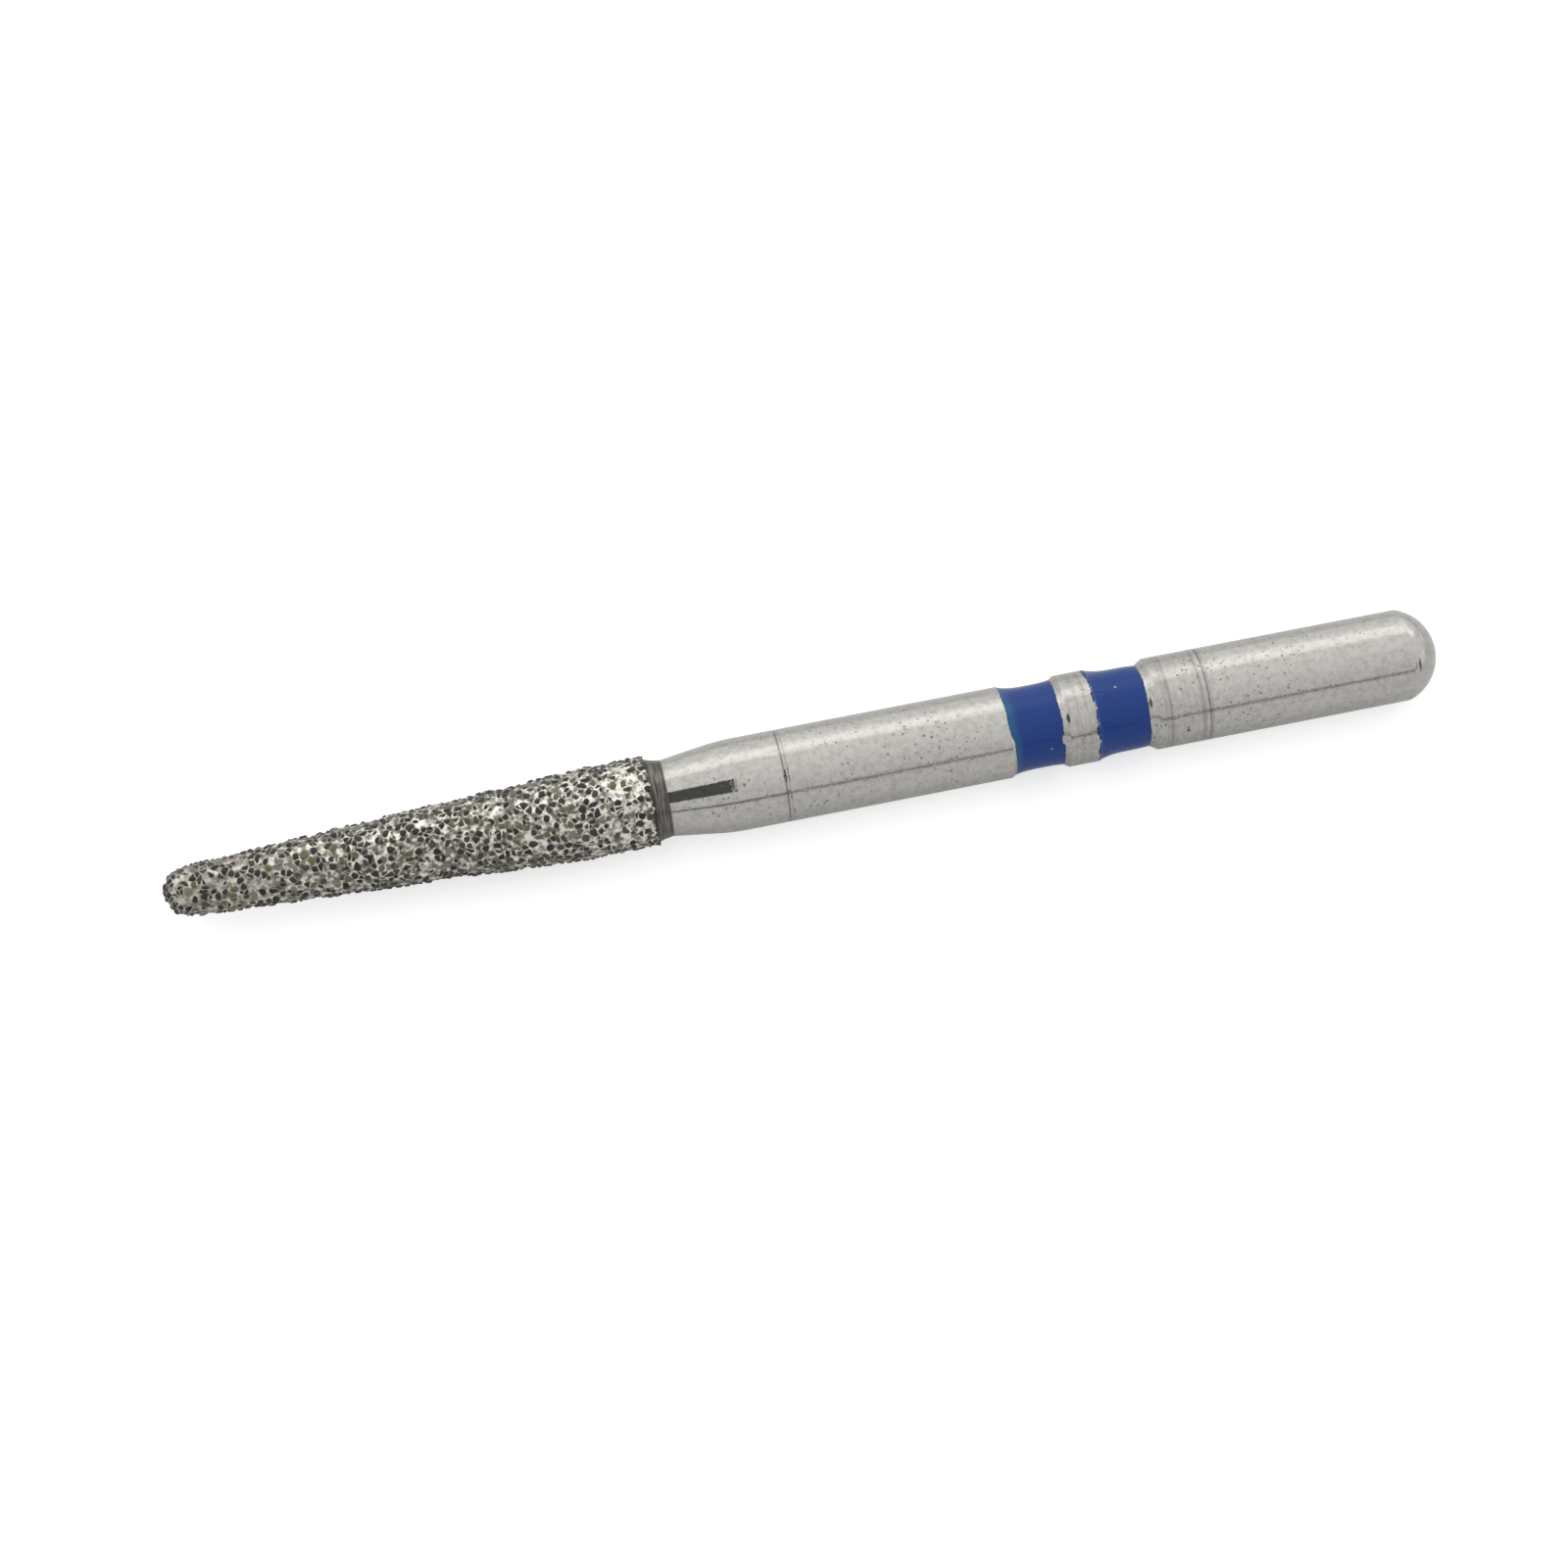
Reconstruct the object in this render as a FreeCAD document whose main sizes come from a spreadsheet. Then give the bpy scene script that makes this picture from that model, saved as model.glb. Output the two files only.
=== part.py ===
import FreeCAD, Part
import Sketcher
import math
import os

# A friction-grip diamond bur: a turned steel blank, a coat of diamond grit bonded to its head,
# and two rings of blue enamel in the grooves of its shank.
# The axis is X. The sub-parts are drawn from the place where the shank's full round ends and the
# neck begins: the shank runs to its domed end at +X, and the neck, shoulder and head run towards -X,
# to the round tip. They are then placed with the middle of the shank's held length at the origin.

SIZES = {
    # Shank, the standard friction-grip size
    "shank_diameter": 1.60,
    "shank_length": 12.354,
    "end_dome_radius": 0.84,
    "end_rim_radius": 0.10,
    # Line scribed round the shank
    "scribe_place": 0.714,
    "scribe_width": 0.036,
    "scribe_depth": 0.012,
    # Two grooves for the colour rings, with a land between them
    "groove_place": 4.642,
    "front_groove_width": 1.025,
    "land_width": 0.515,
    "rear_groove_width": 1.065,
    "groove_depth": 0.16,
    "groove_wall_run": 0.26,
    # Enamel in the grooves: a shallow hollow, with a steeper climb up each of the groove's walls
    "enamel_sink": 0.071,
    "enamel_hollow_radius": 4.0,
    "enamel_climb_run": 0.31,
    "enamel_rim_drop": 0.008,
    "bare_bevel_drop": 0.047,
    # Neck: a slim cone that leaves the shank in a gentle round
    "neck_length": 1.246,
    "neck_diameter": 1.326,
    "neck_blend_radius": 3.80,
    # Bare shoulder behind the head, in two slopes
    "shoulder_length": 0.38,
    "shoulder_foot_length": 0.20,
    "shoulder_foot_diameter": 1.378,
    "shoulder_rim_diameter": 1.49,
    # Head over the grit: a parallel part, a taper and a round tip
    "head_diameter": 1.60,
    "head_length": 8.33,
    "parallel_length": 1.02,
    "tip_radius": 0.445,
    # Grit: a nickel bond over the steel core, with grains that stand out of it
    "bond_thickness": 0.140,
    "bond_ripple": 0.008,
    "grain_height": 0.040,
    "grain_pitch": 0.21,
    "grain_scatter": 0.30,
}

# Places and radii that several sub-parts share, worked out from the sizes
SHANK_RADIUS = "sizes.shank_diameter / 2"
COAT_THICKNESS = "sizes.bond_thickness + sizes.grain_height"
CORE_RADIUS = f"sizes.head_diameter / 2 - ({COAT_THICKNESS})"
CORE_TIP_RADIUS = f"sizes.tip_radius - ({COAT_THICKNESS})"
COAT_END = "-(sizes.neck_length + sizes.shoulder_length)"
TAPER_START = f"{COAT_END} - sizes.parallel_length"
TIP_CENTRE = f"{COAT_END} - sizes.head_length + sizes.tip_radius"
FRONT_GROOVE = ("sizes.groove_place", "sizes.groove_place + sizes.front_groove_width")
REAR_GROOVE = (
    f"{FRONT_GROOVE[1]} + sizes.land_width",
    f"{FRONT_GROOVE[1]} + sizes.land_width + sizes.rear_groove_width",
)
GROOVE_FLOOR = f"{SHANK_RADIUS} - sizes.groove_depth"
DOME_CENTRE = "sizes.shank_length - sizes.end_dome_radius"
DOME_RIM = f"{DOME_CENTRE} + sqrt(sizes.end_dome_radius ^ 2 - ({SHANK_RADIUS}) ^ 2)"
HELD_MIDDLE = f"({DOME_RIM}) / 2"

# Numbers by which a sketch knows its axes and the points of an edge
X_AXIS = -1
Y_AXIS = -2
START = 1
END = 2
CENTRE = 3

# Points of the grit closer than this are one point
MESH_JOIN = 1e-6


def make_sheet(doc):
    """Puts every driving size in a spreadsheet, one aliased cell each."""
    sheet = doc.addObject("Spreadsheet::Sheet", "sizes")
    for row, (name, value) in enumerate(SIZES.items(), start=1):
        sheet.set(f"A{row}", name)
        sheet.set(f"B{row}", str(value))
        sheet.setAlias(f"B{row}", name)
    doc.recompute()
    return sheet


def new_sketch(body, name):
    """Adds a sketch on the body's XY plane, where Y is the radius."""
    plane = next(part for part in body.Origin.OriginFeatures if part.Role == "XY_Plane")
    sketch = body.newObject("Sketcher::SketchObject", name)
    sketch.AttachmentSupport = [(plane, "")]
    sketch.MapMode = "FlatFace"
    return sketch


def value_of(sketch, expression):
    """Value of an expression on the sheet, as a plain number."""
    found = sketch.evalExpression(expression)
    return float(getattr(found, "Value", found))


def place_of(sketch, corner):
    """Place of a corner given as an (x, radius) pair of expressions."""
    x, radius = corner
    return FreeCAD.Vector(value_of(sketch, x), value_of(sketch, radius), 0)


def heading(turn):
    """Unit step in the direction of an angle."""
    return FreeCAD.Vector(math.cos(turn), math.sin(turn), 0)


def add_line(sketch, start, end):
    """Draws a straight edge."""
    return sketch.addGeometry(Part.LineSegment(start, end), False)


def add_arc(sketch, centre, radius, start_turn, end_turn):
    """Draws an arc, taken anticlockwise from one angle to the other."""
    circle = Part.Circle(centre, FreeCAD.Vector(0, 0, 1), radius)
    return sketch.addGeometry(Part.ArcOfCircle(circle, start_turn, end_turn), False)


def fix_radius(sketch, arc, expression):
    """Ties the radius of an arc to the sheet."""
    index = sketch.addConstraint(Sketcher.Constraint("Radius", arc, value_of(sketch, expression)))
    sketch.setExpression(f"Constraints[{index}]", expression)


def fix_point(sketch, edge, point, x, radius):
    """Ties one point of a sketch edge to its place along the axis and its radius."""
    for kind, axis, expression in (("DistanceX", Y_AXIS, x), ("DistanceY", X_AXIS, radius)):
        if expression == "0":
            sketch.addConstraint(Sketcher.Constraint("PointOnObject", edge, point, axis))
            continue
        distance = value_of(sketch, expression)
        index = sketch.addConstraint(Sketcher.Constraint(kind, X_AXIS, START, edge, point, distance))
        sketch.setExpression(f"Constraints[{index}]", expression)


def draw_outline(sketch, corners):
    """Draws a closed outline of straight edges through corners given as (x, radius) expressions."""
    places = [place_of(sketch, corner) for corner in corners]
    edges = [add_line(sketch, *ends) for ends in zip(places, places[1:] + places[:1])]
    for edge, following in zip(edges, edges[1:] + edges[:1]):
        sketch.addConstraint(Sketcher.Constraint("Coincident", edge, END, following, START))
    for edge, (x, radius) in zip(edges, corners):
        fix_point(sketch, edge, START, x, radius)
    return edges


def revolve(body, kind, name, sketch):
    """Turns a sketch a full circle about the axis, as material or as a cut."""
    feature = body.newObject(kind, name)
    feature.Profile = sketch
    feature.ReferenceAxis = (sketch, ["H_Axis"])
    feature.Angle = 360
    body.Tip = feature
    body.Document.recompute()
    return feature


def rings_at(feature, x, radius):
    """Names of the feature's circular edges that lie at a place on the axis with a given radius."""
    names = []
    for number, edge in enumerate(feature.Shape.Edges, start=1):
        if edge.Degenerated or not isinstance(edge.Curve, Part.Circle):
            continue
        if abs(edge.Curve.Center.x - x) < 1e-4 and abs(edge.Curve.Radius - radius) < 1e-4:
            names.append(f"Edge{number}")
    return names


def round_ring(body, name, rings, radius):
    """Rounds ring edges of the body's last feature to a radius from the sheet."""
    feature = body.newObject("PartDesign::Fillet", name)
    feature.Base = rings
    feature.setExpression("Radius", radius)
    body.Tip = feature
    body.Document.recompute()
    return feature


def taper_angle(reach, radius, tip_radius):
    """Half angle of a cone that leaves a cylinder and runs on, tangent, into a round tip.

    reach is the distance from the tip's centre to the end of the cylinder of that radius.
    """
    return math.atan2(radius, reach) - math.asin(tip_radius / math.hypot(reach, radius))


def draw_blank_outline(sketch):
    """Draws the blank's half section: shank, neck, shoulder and the core of the head."""
    shank_end = ("sizes.shank_length", "0")
    shank_rim = (DOME_RIM, SHANK_RADIUS)
    neck_start = ("0", SHANK_RADIUS)
    neck_root = ("-sizes.neck_length", "sizes.neck_diameter / 2")
    shoulder_foot = (
        "-(sizes.neck_length + sizes.shoulder_foot_length)", "sizes.shoulder_foot_diameter / 2")
    shoulder_rim = (COAT_END, "sizes.shoulder_rim_diameter / 2")
    core_start = (COAT_END, CORE_RADIUS)
    taper_start = (TAPER_START, CORE_RADIUS)
    end_at, rim_at, start_at, root_at, foot_at, shoulder_at, core_at, taper_at = (
        place_of(sketch, corner) for corner in
        (shank_end, shank_rim, neck_start, neck_root, shoulder_foot, shoulder_rim, core_start,
         taper_start))

    blend_radius = value_of(sketch, "sizes.neck_blend_radius")
    blend_centre = start_at - FreeCAD.Vector(0, blend_radius, 0)
    blend_turn = math.atan2(start_at.y - root_at.y, start_at.x - root_at.x)
    blend_end = blend_centre + blend_radius * heading(math.pi / 2 + blend_turn)

    tip_radius = value_of(sketch, CORE_TIP_RADIUS)
    tip_centre = place_of(sketch, (TIP_CENTRE, "0"))
    tip_turn = math.pi / 2 + taper_angle(taper_at.x - tip_centre.x, taper_at.y, tip_radius)
    taper_end = tip_centre + tip_radius * heading(tip_turn)
    apex = tip_centre - FreeCAD.Vector(tip_radius, 0, 0)

    dome_radius = value_of(sketch, "sizes.end_dome_radius")
    dome_turn = math.asin(rim_at.y / dome_radius)
    dome = add_arc(sketch, place_of(sketch, (DOME_CENTRE, "0")), dome_radius, 0, dome_turn)
    shank = add_line(sketch, rim_at, start_at)
    blend = add_arc(sketch, blend_centre, blend_radius, math.pi / 2, math.pi / 2 + blend_turn)
    neck = add_line(sketch, blend_end, root_at)
    foot = add_line(sketch, root_at, foot_at)
    shoulder = add_line(sketch, foot_at, shoulder_at)
    step = add_line(sketch, shoulder_at, core_at)
    parallel = add_line(sketch, core_at, taper_at)
    taper = add_line(sketch, taper_at, taper_end)
    tip = add_arc(sketch, tip_centre, tip_radius, tip_turn, math.pi)
    axis = add_line(sketch, apex, end_at)

    for edge, following in ((axis, dome), (dome, shank), (neck, foot), (foot, shoulder),
                            (shoulder, step), (step, parallel), (parallel, taper), (tip, axis)):
        sketch.addConstraint(Sketcher.Constraint("Coincident", edge, END, following, START))
    for edge, following in ((shank, blend), (blend, neck), (taper, tip)):
        sketch.addConstraint(Sketcher.Constraint("Tangent", edge, END, following, START))
    for edge, corner in ((blend, neck_start), (foot, neck_root), (shoulder, shoulder_foot),
                         (step, shoulder_rim), (parallel, core_start), (taper, taper_start)):
        fix_point(sketch, edge, START, *corner)
    fix_point(sketch, dome, CENTRE, DOME_CENTRE, "0")
    sketch.addConstraint(Sketcher.Constraint("PointOnObject", dome, START, X_AXIS))
    sketch.addConstraint(Sketcher.Constraint("Horizontal", shank))
    fix_radius(sketch, dome, "sizes.end_dome_radius")
    fix_point(sketch, tip, CENTRE, TIP_CENTRE, "0")
    sketch.addConstraint(Sketcher.Constraint("PointOnObject", tip, END, X_AXIS))
    fix_radius(sketch, blend, "sizes.neck_blend_radius")
    fix_radius(sketch, tip, CORE_TIP_RADIUS)


def seat_in_frame(piece):
    """Brings the middle of the shank's held length to the origin."""
    piece.setExpression("Placement.Base.x", f"-({HELD_MIDDLE})")


def make_blank(doc):
    """Turns the steel blank in one piece, then cuts its scribed line and its two grooves."""
    body = doc.addObject("PartDesign::Body", "SteelBlank")
    body.Label = "steel_blank"
    seat_in_frame(body)

    outline = new_sketch(body, "BlankOutline")
    draw_blank_outline(outline)
    turned = revolve(body, "PartDesign::Revolution", "TurnedBlank", outline)

    dome_rim = rings_at(turned, value_of(outline, DOME_RIM), value_of(outline, SHANK_RADIUS))
    round_ring(body, "DomeRimRounding", (turned, dome_rim), "sizes.end_rim_radius")

    scribe = new_sketch(body, "ScribedLine")
    scribe_middle = "sizes.scribe_place"
    draw_outline(scribe, [
        (f"{scribe_middle} - sizes.scribe_width / 2", SHANK_RADIUS),
        (f"{scribe_middle}", f"{SHANK_RADIUS} - sizes.scribe_depth"),
        (f"{scribe_middle} + sizes.scribe_width / 2", SHANK_RADIUS),
    ])
    revolve(body, "PartDesign::Groove", "ScribedLineCut", scribe)

    for name, (front, rear) in (("FrontGroove", FRONT_GROOVE), ("RearGroove", REAR_GROOVE)):
        groove = new_sketch(body, name)
        draw_outline(groove, [
            (front, SHANK_RADIUS),
            (f"{front} + sizes.groove_wall_run", GROOVE_FLOOR),
            (f"{rear} - sizes.groove_wall_run", GROOVE_FLOOR),
            (rear, SHANK_RADIUS),
        ])
        revolve(body, "PartDesign::Groove", f"{name}Cut", groove)
    return body


def add_hollow(sketch, front, rear, radius):
    """Draws the shallow arc that dips between two points of the same height."""
    lean = math.asin((rear.x - front.x) / (2 * radius))
    centre = (front + rear) / 2 + FreeCAD.Vector(0, radius * math.cos(lean), 0)
    return add_arc(sketch, centre, radius, 1.5 * math.pi - lean, 1.5 * math.pi + lean)


def add_climb(sketch, foot, rim, lean):
    """Draws an arc that leaves its foot at the angle lean and climbs to the rim on the groove's wall."""
    side = math.copysign(1, rim.x - foot.x)
    inward = heading(math.pi / 2 + side * lean)
    chord = rim - foot
    radius = chord.dot(chord) / (2 * chord.dot(inward))
    foot_turn = 1.5 * math.pi + side * lean
    rim_turn = foot_turn + side * 2 * math.asin(chord.Length / (2 * radius))
    return add_arc(sketch, foot + radius * inward, radius, *sorted((foot_turn, rim_turn)))


def make_band(doc, name, label, groove, rear_drop):
    """Fills a groove with enamel whose surface is hollow and climbs both of the groove's walls."""
    front, rear = groove
    front_drop = "sizes.enamel_rim_drop"
    surface = f"{SHANK_RADIUS} - sizes.enamel_sink"
    wall_slope = "sizes.groove_wall_run / sizes.groove_depth"
    corners = [
        (f"{rear} - sizes.enamel_climb_run", surface),
        (f"{front} + sizes.enamel_climb_run", surface),
        (f"{front} + {front_drop} * {wall_slope}", f"{SHANK_RADIUS} - {front_drop}"),
        (f"{front} + sizes.groove_wall_run", GROOVE_FLOOR),
        (f"{rear} - sizes.groove_wall_run", GROOVE_FLOOR),
        (f"{rear} - {rear_drop} * {wall_slope}", f"{SHANK_RADIUS} - {rear_drop}"),
    ]
    body = doc.addObject("PartDesign::Body", name)
    body.Label = label
    seat_in_frame(body)
    sketch = new_sketch(body, f"{name}Outline")
    rear_foot, front_foot, front_rim, front_floor, rear_floor, rear_rim = (
        place_of(sketch, corner) for corner in corners)

    hollow_radius = value_of(sketch, "sizes.enamel_hollow_radius")
    lean = math.asin((rear_foot.x - front_foot.x) / (2 * hollow_radius))
    hollow = add_hollow(sketch, front_foot, rear_foot, hollow_radius)
    front_climb = add_climb(sketch, front_foot, front_rim, lean)
    front_wall = add_line(sketch, front_rim, front_floor)
    floor = add_line(sketch, front_floor, rear_floor)
    rear_wall = add_line(sketch, rear_floor, rear_rim)
    rear_climb = add_climb(sketch, rear_foot, rear_rim, lean)

    sketch.addConstraint(Sketcher.Constraint("Tangent", hollow, START, front_climb, END))
    sketch.addConstraint(Sketcher.Constraint("Coincident", front_climb, START, front_wall, START))
    sketch.addConstraint(Sketcher.Constraint("Coincident", front_wall, END, floor, START))
    sketch.addConstraint(Sketcher.Constraint("Coincident", floor, END, rear_wall, START))
    sketch.addConstraint(Sketcher.Constraint("Coincident", rear_wall, END, rear_climb, END))
    sketch.addConstraint(Sketcher.Constraint("Tangent", hollow, END, rear_climb, START))
    ends = ((hollow, END), (hollow, START), (front_wall, START),
            (floor, START), (floor, END), (rear_wall, END))
    for (edge, point), (x, radius) in zip(ends, corners):
        fix_point(sketch, edge, point, x, radius)
    fix_radius(sketch, hollow, "sizes.enamel_hollow_radius")
    revolve(body, "PartDesign::Revolution", f"{name}Ring", sketch)
    return body


def noise(row, place, choice):
    """A repeatable value from 0 to 1 for one point of the grit."""
    return (math.sin(12.9898 * row + 78.233 * place + 37.719 * choice) * 43758.5453) % 1.0


class HeadOutline:
    """The bond's surface under the standing grains, as a path from the coat's rear edge to the tip."""

    def __init__(self, sheet):
        self.radius = sheet.head_diameter / 2 - sheet.grain_height
        self.tip_radius = sheet.tip_radius - sheet.grain_height
        self.rear = -(sheet.neck_length + sheet.shoulder_length)
        self.parallel = sheet.parallel_length
        self.centre = self.rear - sheet.head_length + sheet.tip_radius
        reach = self.rear - self.parallel - self.centre
        self.slope = taper_angle(reach, self.radius, self.tip_radius)
        self.taper = math.sqrt(reach ** 2 + self.radius ** 2 - self.tip_radius ** 2)
        self.length = self.parallel + self.taper + self.tip_radius * (math.pi / 2 - self.slope)

    def point(self, distance, height):
        """Place along the axis and radius, at a distance along the bond and a height above it."""
        if distance <= self.parallel:
            return self.rear - distance, self.radius + height
        along = distance - self.parallel
        if along <= self.taper:
            x = self.rear - self.parallel - along * math.cos(self.slope) - height * math.sin(self.slope)
            return x, self.radius - along * math.sin(self.slope) + height * math.cos(self.slope)
        turn = math.pi / 2 + self.slope + (along - self.taper) / self.tip_radius
        reach = self.tip_radius + height
        return self.centre + reach * math.cos(turn), max(reach * math.sin(turn), 0.0)


def grit_rows(sheet):
    """Rows of points round the head: every third point tops a grain, the rest lie in the bond."""
    outline = HeadOutline(sheet)
    step = sheet.grain_pitch / math.sqrt(3)
    last_row = round(outline.length / (step * math.sqrt(3) / 2))
    rows = []
    for row in range(last_row):
        distance = outline.length * row / last_row
        _, girth_radius = outline.point(distance, 0)
        count = 3 * max(2, round(2 * math.pi * girth_radius / step / 3))
        loose = 0.0 if row == 0 else sheet.grain_scatter
        points = []
        for place in range(count):
            height = -sheet.bond_ripple * noise(row, place, 1) if row > 0 else 0.0
            if (place - row) % 3 == 0 and row > 0:
                height = sheet.grain_height * (0.45 + 0.55 * noise(row, place, 2))
            shift = loose * (noise(row, place, 3) - 0.5)
            turn = 2 * math.pi * (place + row / 2 + loose * (noise(row, place, 4) - 0.5)) / count
            x, radius = outline.point(distance + shift * step, height)
            point = FreeCAD.Vector(x, radius * math.cos(turn), radius * math.sin(turn))
            points.append((turn, point))
        start = min(range(count), key=lambda index: points[index][0] % (2 * math.pi))
        turned = points[start:] + points[:start]
        rows.append([(turn % (2 * math.pi), point) for turn, point in turned])
    tip, _ = outline.point(outline.length, sheet.grain_height)
    rows.append([(0.0, FreeCAD.Vector(tip, 0, 0))])
    return rows


def lace(row, following, row_start, following_start):
    """Facets that join two rows of points round the axis, taken in order of their turn.

    row_start and following_start are the numbers of the two rows' first points.
    """
    def turn_of(points, index):
        return points[index % len(points)][0] + 2 * math.pi * (index // len(points))

    facets = []
    here = there = 0
    there_steps = len(following) if len(following) > 1 else 0
    while here < len(row) or there < there_steps:
        near = row_start + here % len(row)
        far = following_start + there % len(following)
        step_here = there == there_steps or (
            here < len(row) and turn_of(row, here + 1) <= turn_of(following, there + 1))
        if step_here:
            here += 1
            facets.append((near, far, row_start + here % len(row)))
        else:
            there += 1
            facets.append((near, far, following_start + there % len(following)))
    return facets


def make_grit(doc, sheet):
    """Closes the grit's faceted surface into a solid, with a flat end where the coat stops."""
    rows = grit_rows(sheet)
    first_of_row = [0]
    for row in rows:
        first_of_row.append(first_of_row[-1] + len(row))
    points = [point for row in rows for _, point in row]
    facets = []
    for number in range(len(rows) - 1):
        facets += lace(rows[number], rows[number + 1], first_of_row[number], first_of_row[number + 1])
    facets += [(0, place + 1, place) for place in range(1, len(rows[0]) - 1)]
    shell = Part.Shape()
    shell.makeShapeFromMesh((points, facets), MESH_JOIN)
    solid = Part.makeSolid(shell)
    if solid.Volume < 0:
        solid.reverse()
    grit = doc.addObject("Part::Feature", "GritSurface")
    grit.Shape = solid
    seat_in_frame(grit)
    return grit


def make_coat(doc, sheet, blank):
    """Hollows the grit by the blank's own head, so that the coat fits it face to face."""
    coat = doc.addObject("Part::Cut", "DiamondCoat")
    coat.Label = "diamond_coat"
    coat.Base = make_grit(doc, sheet)
    coat.Tool = blank
    coat.Refine = False
    return coat


def check_document(doc):
    """Stops if any object failed to build."""
    for item in doc.Objects:
        if "Invalid" in item.State or "Error" in item.State:
            raise RuntimeError(f"{item.Name} did not build: {item.State}")


def write_pieces(pieces):
    """Checks each sub-part's shape and writes it under its own name."""
    os.makedirs("parts", exist_ok=True)
    for piece in pieces:
        shape = piece.Shape
        if shape.isNull() or not shape.isValid() or len(shape.Solids) != 1:
            raise RuntimeError(f"{piece.Label} is not one valid solid")
    for piece in pieces:
        piece.Shape.exportStep(f"parts/{piece.Label}.step")
        print(piece.Label, round(piece.Shape.Volume, 4), "mm3", len(piece.Shape.Faces), "faces")


def main():
    """Builds the bur and writes one file for each of its pieces."""
    doc = FreeCAD.newDocument("diamond_bur")
    sheet = make_sheet(doc)
    blank = make_blank(doc)
    pieces = [
        blank,
        make_band(doc, "FrontBand", "front_blue_band", FRONT_GROOVE, "sizes.enamel_rim_drop"),
        make_band(doc, "RearBand", "rear_blue_band", REAR_GROOVE, "sizes.bare_bevel_drop"),
        make_coat(doc, sheet, blank),
    ]
    doc.recompute()
    check_document(doc)
    write_pieces(pieces)


main()
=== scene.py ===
"""A friction-grip diamond bur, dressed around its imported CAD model.

The axis is X: the shank runs towards +X and the coated head towards -X. The bur lies on its shank.
Classes hold their sizes in millimetres, along the axis from the place where the neck begins, and
their meshes are written in metres in the frame's own axes.
"""

import logging
import math
from dataclasses import dataclass, field
from enum import Enum
from typing import Any

import bmesh
import bpy
import numpy as np
from mathutils import Matrix, Vector

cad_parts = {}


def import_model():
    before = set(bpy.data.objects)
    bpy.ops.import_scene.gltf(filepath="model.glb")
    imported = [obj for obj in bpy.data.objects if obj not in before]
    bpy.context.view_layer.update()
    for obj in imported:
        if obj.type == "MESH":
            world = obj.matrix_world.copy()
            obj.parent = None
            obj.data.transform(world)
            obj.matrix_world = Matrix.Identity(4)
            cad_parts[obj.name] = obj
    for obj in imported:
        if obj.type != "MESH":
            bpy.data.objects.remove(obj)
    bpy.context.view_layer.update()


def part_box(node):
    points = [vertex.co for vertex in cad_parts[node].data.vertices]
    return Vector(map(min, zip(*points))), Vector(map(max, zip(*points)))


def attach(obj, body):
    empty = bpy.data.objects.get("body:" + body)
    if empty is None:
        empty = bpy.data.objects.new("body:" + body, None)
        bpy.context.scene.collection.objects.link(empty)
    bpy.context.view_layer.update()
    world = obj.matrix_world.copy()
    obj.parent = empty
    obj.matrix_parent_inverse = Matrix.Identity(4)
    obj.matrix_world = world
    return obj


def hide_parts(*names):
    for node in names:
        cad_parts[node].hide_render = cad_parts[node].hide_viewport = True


log = logging.getLogger("diamond_bur")

MM = 0.001
PER_METRE = 1000.0
BODY = "root"
SMOOTH = {"interpolation_type": "SMOOTHSTEP"}

Outline = list[tuple[float, float]]
# A dark mark's place, turn, and size along and round; most of these marks are painted shade and a painted
# reflection.
PaintedMark = tuple[float, float, float, float]
Tree = bpy.types.NodeTree
Wire = bpy.types.Node | bpy.types.NodeSocket


class Slot(Enum):
    """Names of the record's material slots."""

    STEEL = "shank_steel"
    GRIT = "diamond_grit"
    ENAMEL = "blue_enamel"


class Rim(Enum):
    """How the edge of an enamel ring ends on the groove's wall."""

    WAVY = "wavy"
    RAGGED = "ragged"
    CLEAN = "clean"


def linear(code: str) -> tuple[float, float, float, float]:
    """Turns an sRGB hex colour into a linear one.

    Args:
        code: The colour, such as "#BEBCB7".

    Returns:
        Linear red, green, blue and a full alpha.
    """
    channels = [int(code[place:place + 2], 16) / 255 for place in (1, 3, 5)]
    straight = [c / 12.92 if c <= 0.04045 else ((c + 0.055) / 1.055) ** 2.4 for c in channels]
    return straight[0], straight[1], straight[2], 1.0


def add_node(tree: Tree, kind: str, inputs: dict[Any, Any] | None = None, **settings: Any) -> bpy.types.Node:
    """Adds a node with its settings, its values and its links.

    Args:
        tree: The node tree that gets the node.
        kind: The node's type name, without the ShaderNode that most begin with.
        inputs: Input names or numbers, each with a value, or with what it is linked to: an output
            socket, or a node for its first output.
        **settings: The node's own properties.

    Returns:
        The new node.
    """
    whole = kind.startswith(("Geometry", "NodeGroup"))
    added = tree.nodes.new(kind if whole else f"ShaderNode{kind}")
    for name, value in settings.items():
        setattr(added, name, value)
    for name, value in (inputs or {}).items():
        source = value.outputs[0] if isinstance(value, bpy.types.Node) else value
        if isinstance(source, bpy.types.NodeSocket):
            tree.links.new(source, added.inputs[name])
        else:
            added.inputs[name].default_value = source
    return added


def millimetres(tree: Tree, place: Wire) -> Wire:
    """Gives a place in millimetres, so that every pattern's scale is one over a real size.

    Args:
        tree: The node tree.
        place: A position in metres.

    Returns:
        The same position in millimetres.
    """
    scaled = add_node(tree, "VectorMath", {0: place, "Scale": PER_METRE}, operation="SCALE")
    return scaled.outputs["Vector"]


def new_material(name: str) -> tuple[bpy.types.Material, Tree]:
    """Makes an empty node material.

    Args:
        name: The finish's plain name.

    Returns:
        The material and its node tree.
    """
    material = bpy.data.materials.new(name)
    material.use_nodes = True
    material.node_tree.nodes.clear()
    return material, material.node_tree


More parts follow.
